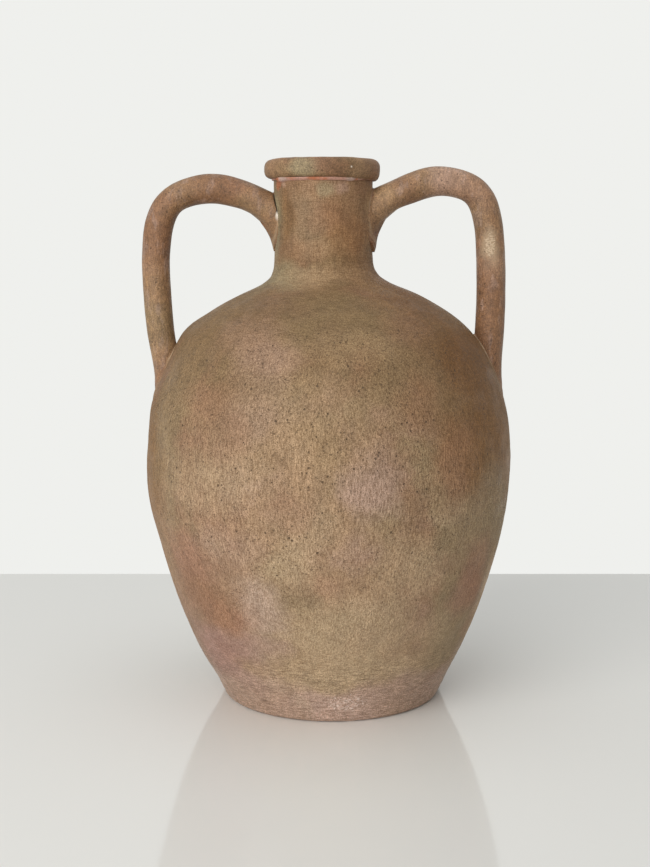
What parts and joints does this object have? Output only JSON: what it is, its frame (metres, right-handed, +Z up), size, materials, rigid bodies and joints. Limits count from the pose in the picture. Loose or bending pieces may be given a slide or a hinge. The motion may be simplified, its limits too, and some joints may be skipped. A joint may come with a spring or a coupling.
{
  "type": "amphora",
  "caption": "Round-bellied two-handled terracotta jar with a narrow neck, a rolled rim and a flat foot to stand on.",
  "frame": {"origin": "centre of the foot's flat underside, where the jar stands", "axes": "+Z up the jar; +X along the line through both handles, towards the right handle; -Y is the front"},
  "size_m": [0.2639, 0.261, 0.385],
  "materials": {
    "painted_clay": "matte",
    "rim_clay": "matte",
    "handle_clay": "satin",
    "bare_clay": "matte",
    "slip": "matte"
  },
  "bodies": {
    "root": {"lower_body": "painted_clay", "upper_body": "painted_clay", "neck": "painted_clay", "rim_ring": "rim_clay", "rim_luting_bead": "bare_clay", "belly_seam_coil": "bare_clay", "handle_left": "handle_clay", "handle_left_neck_luting": "slip", "handle_left_shoulder_luting": "slip", "handle_right": "handle_clay", "handle_right_neck_luting": "slip", "handle_right_shoulder_luting": "slip"}
  },
  "joints": []
}
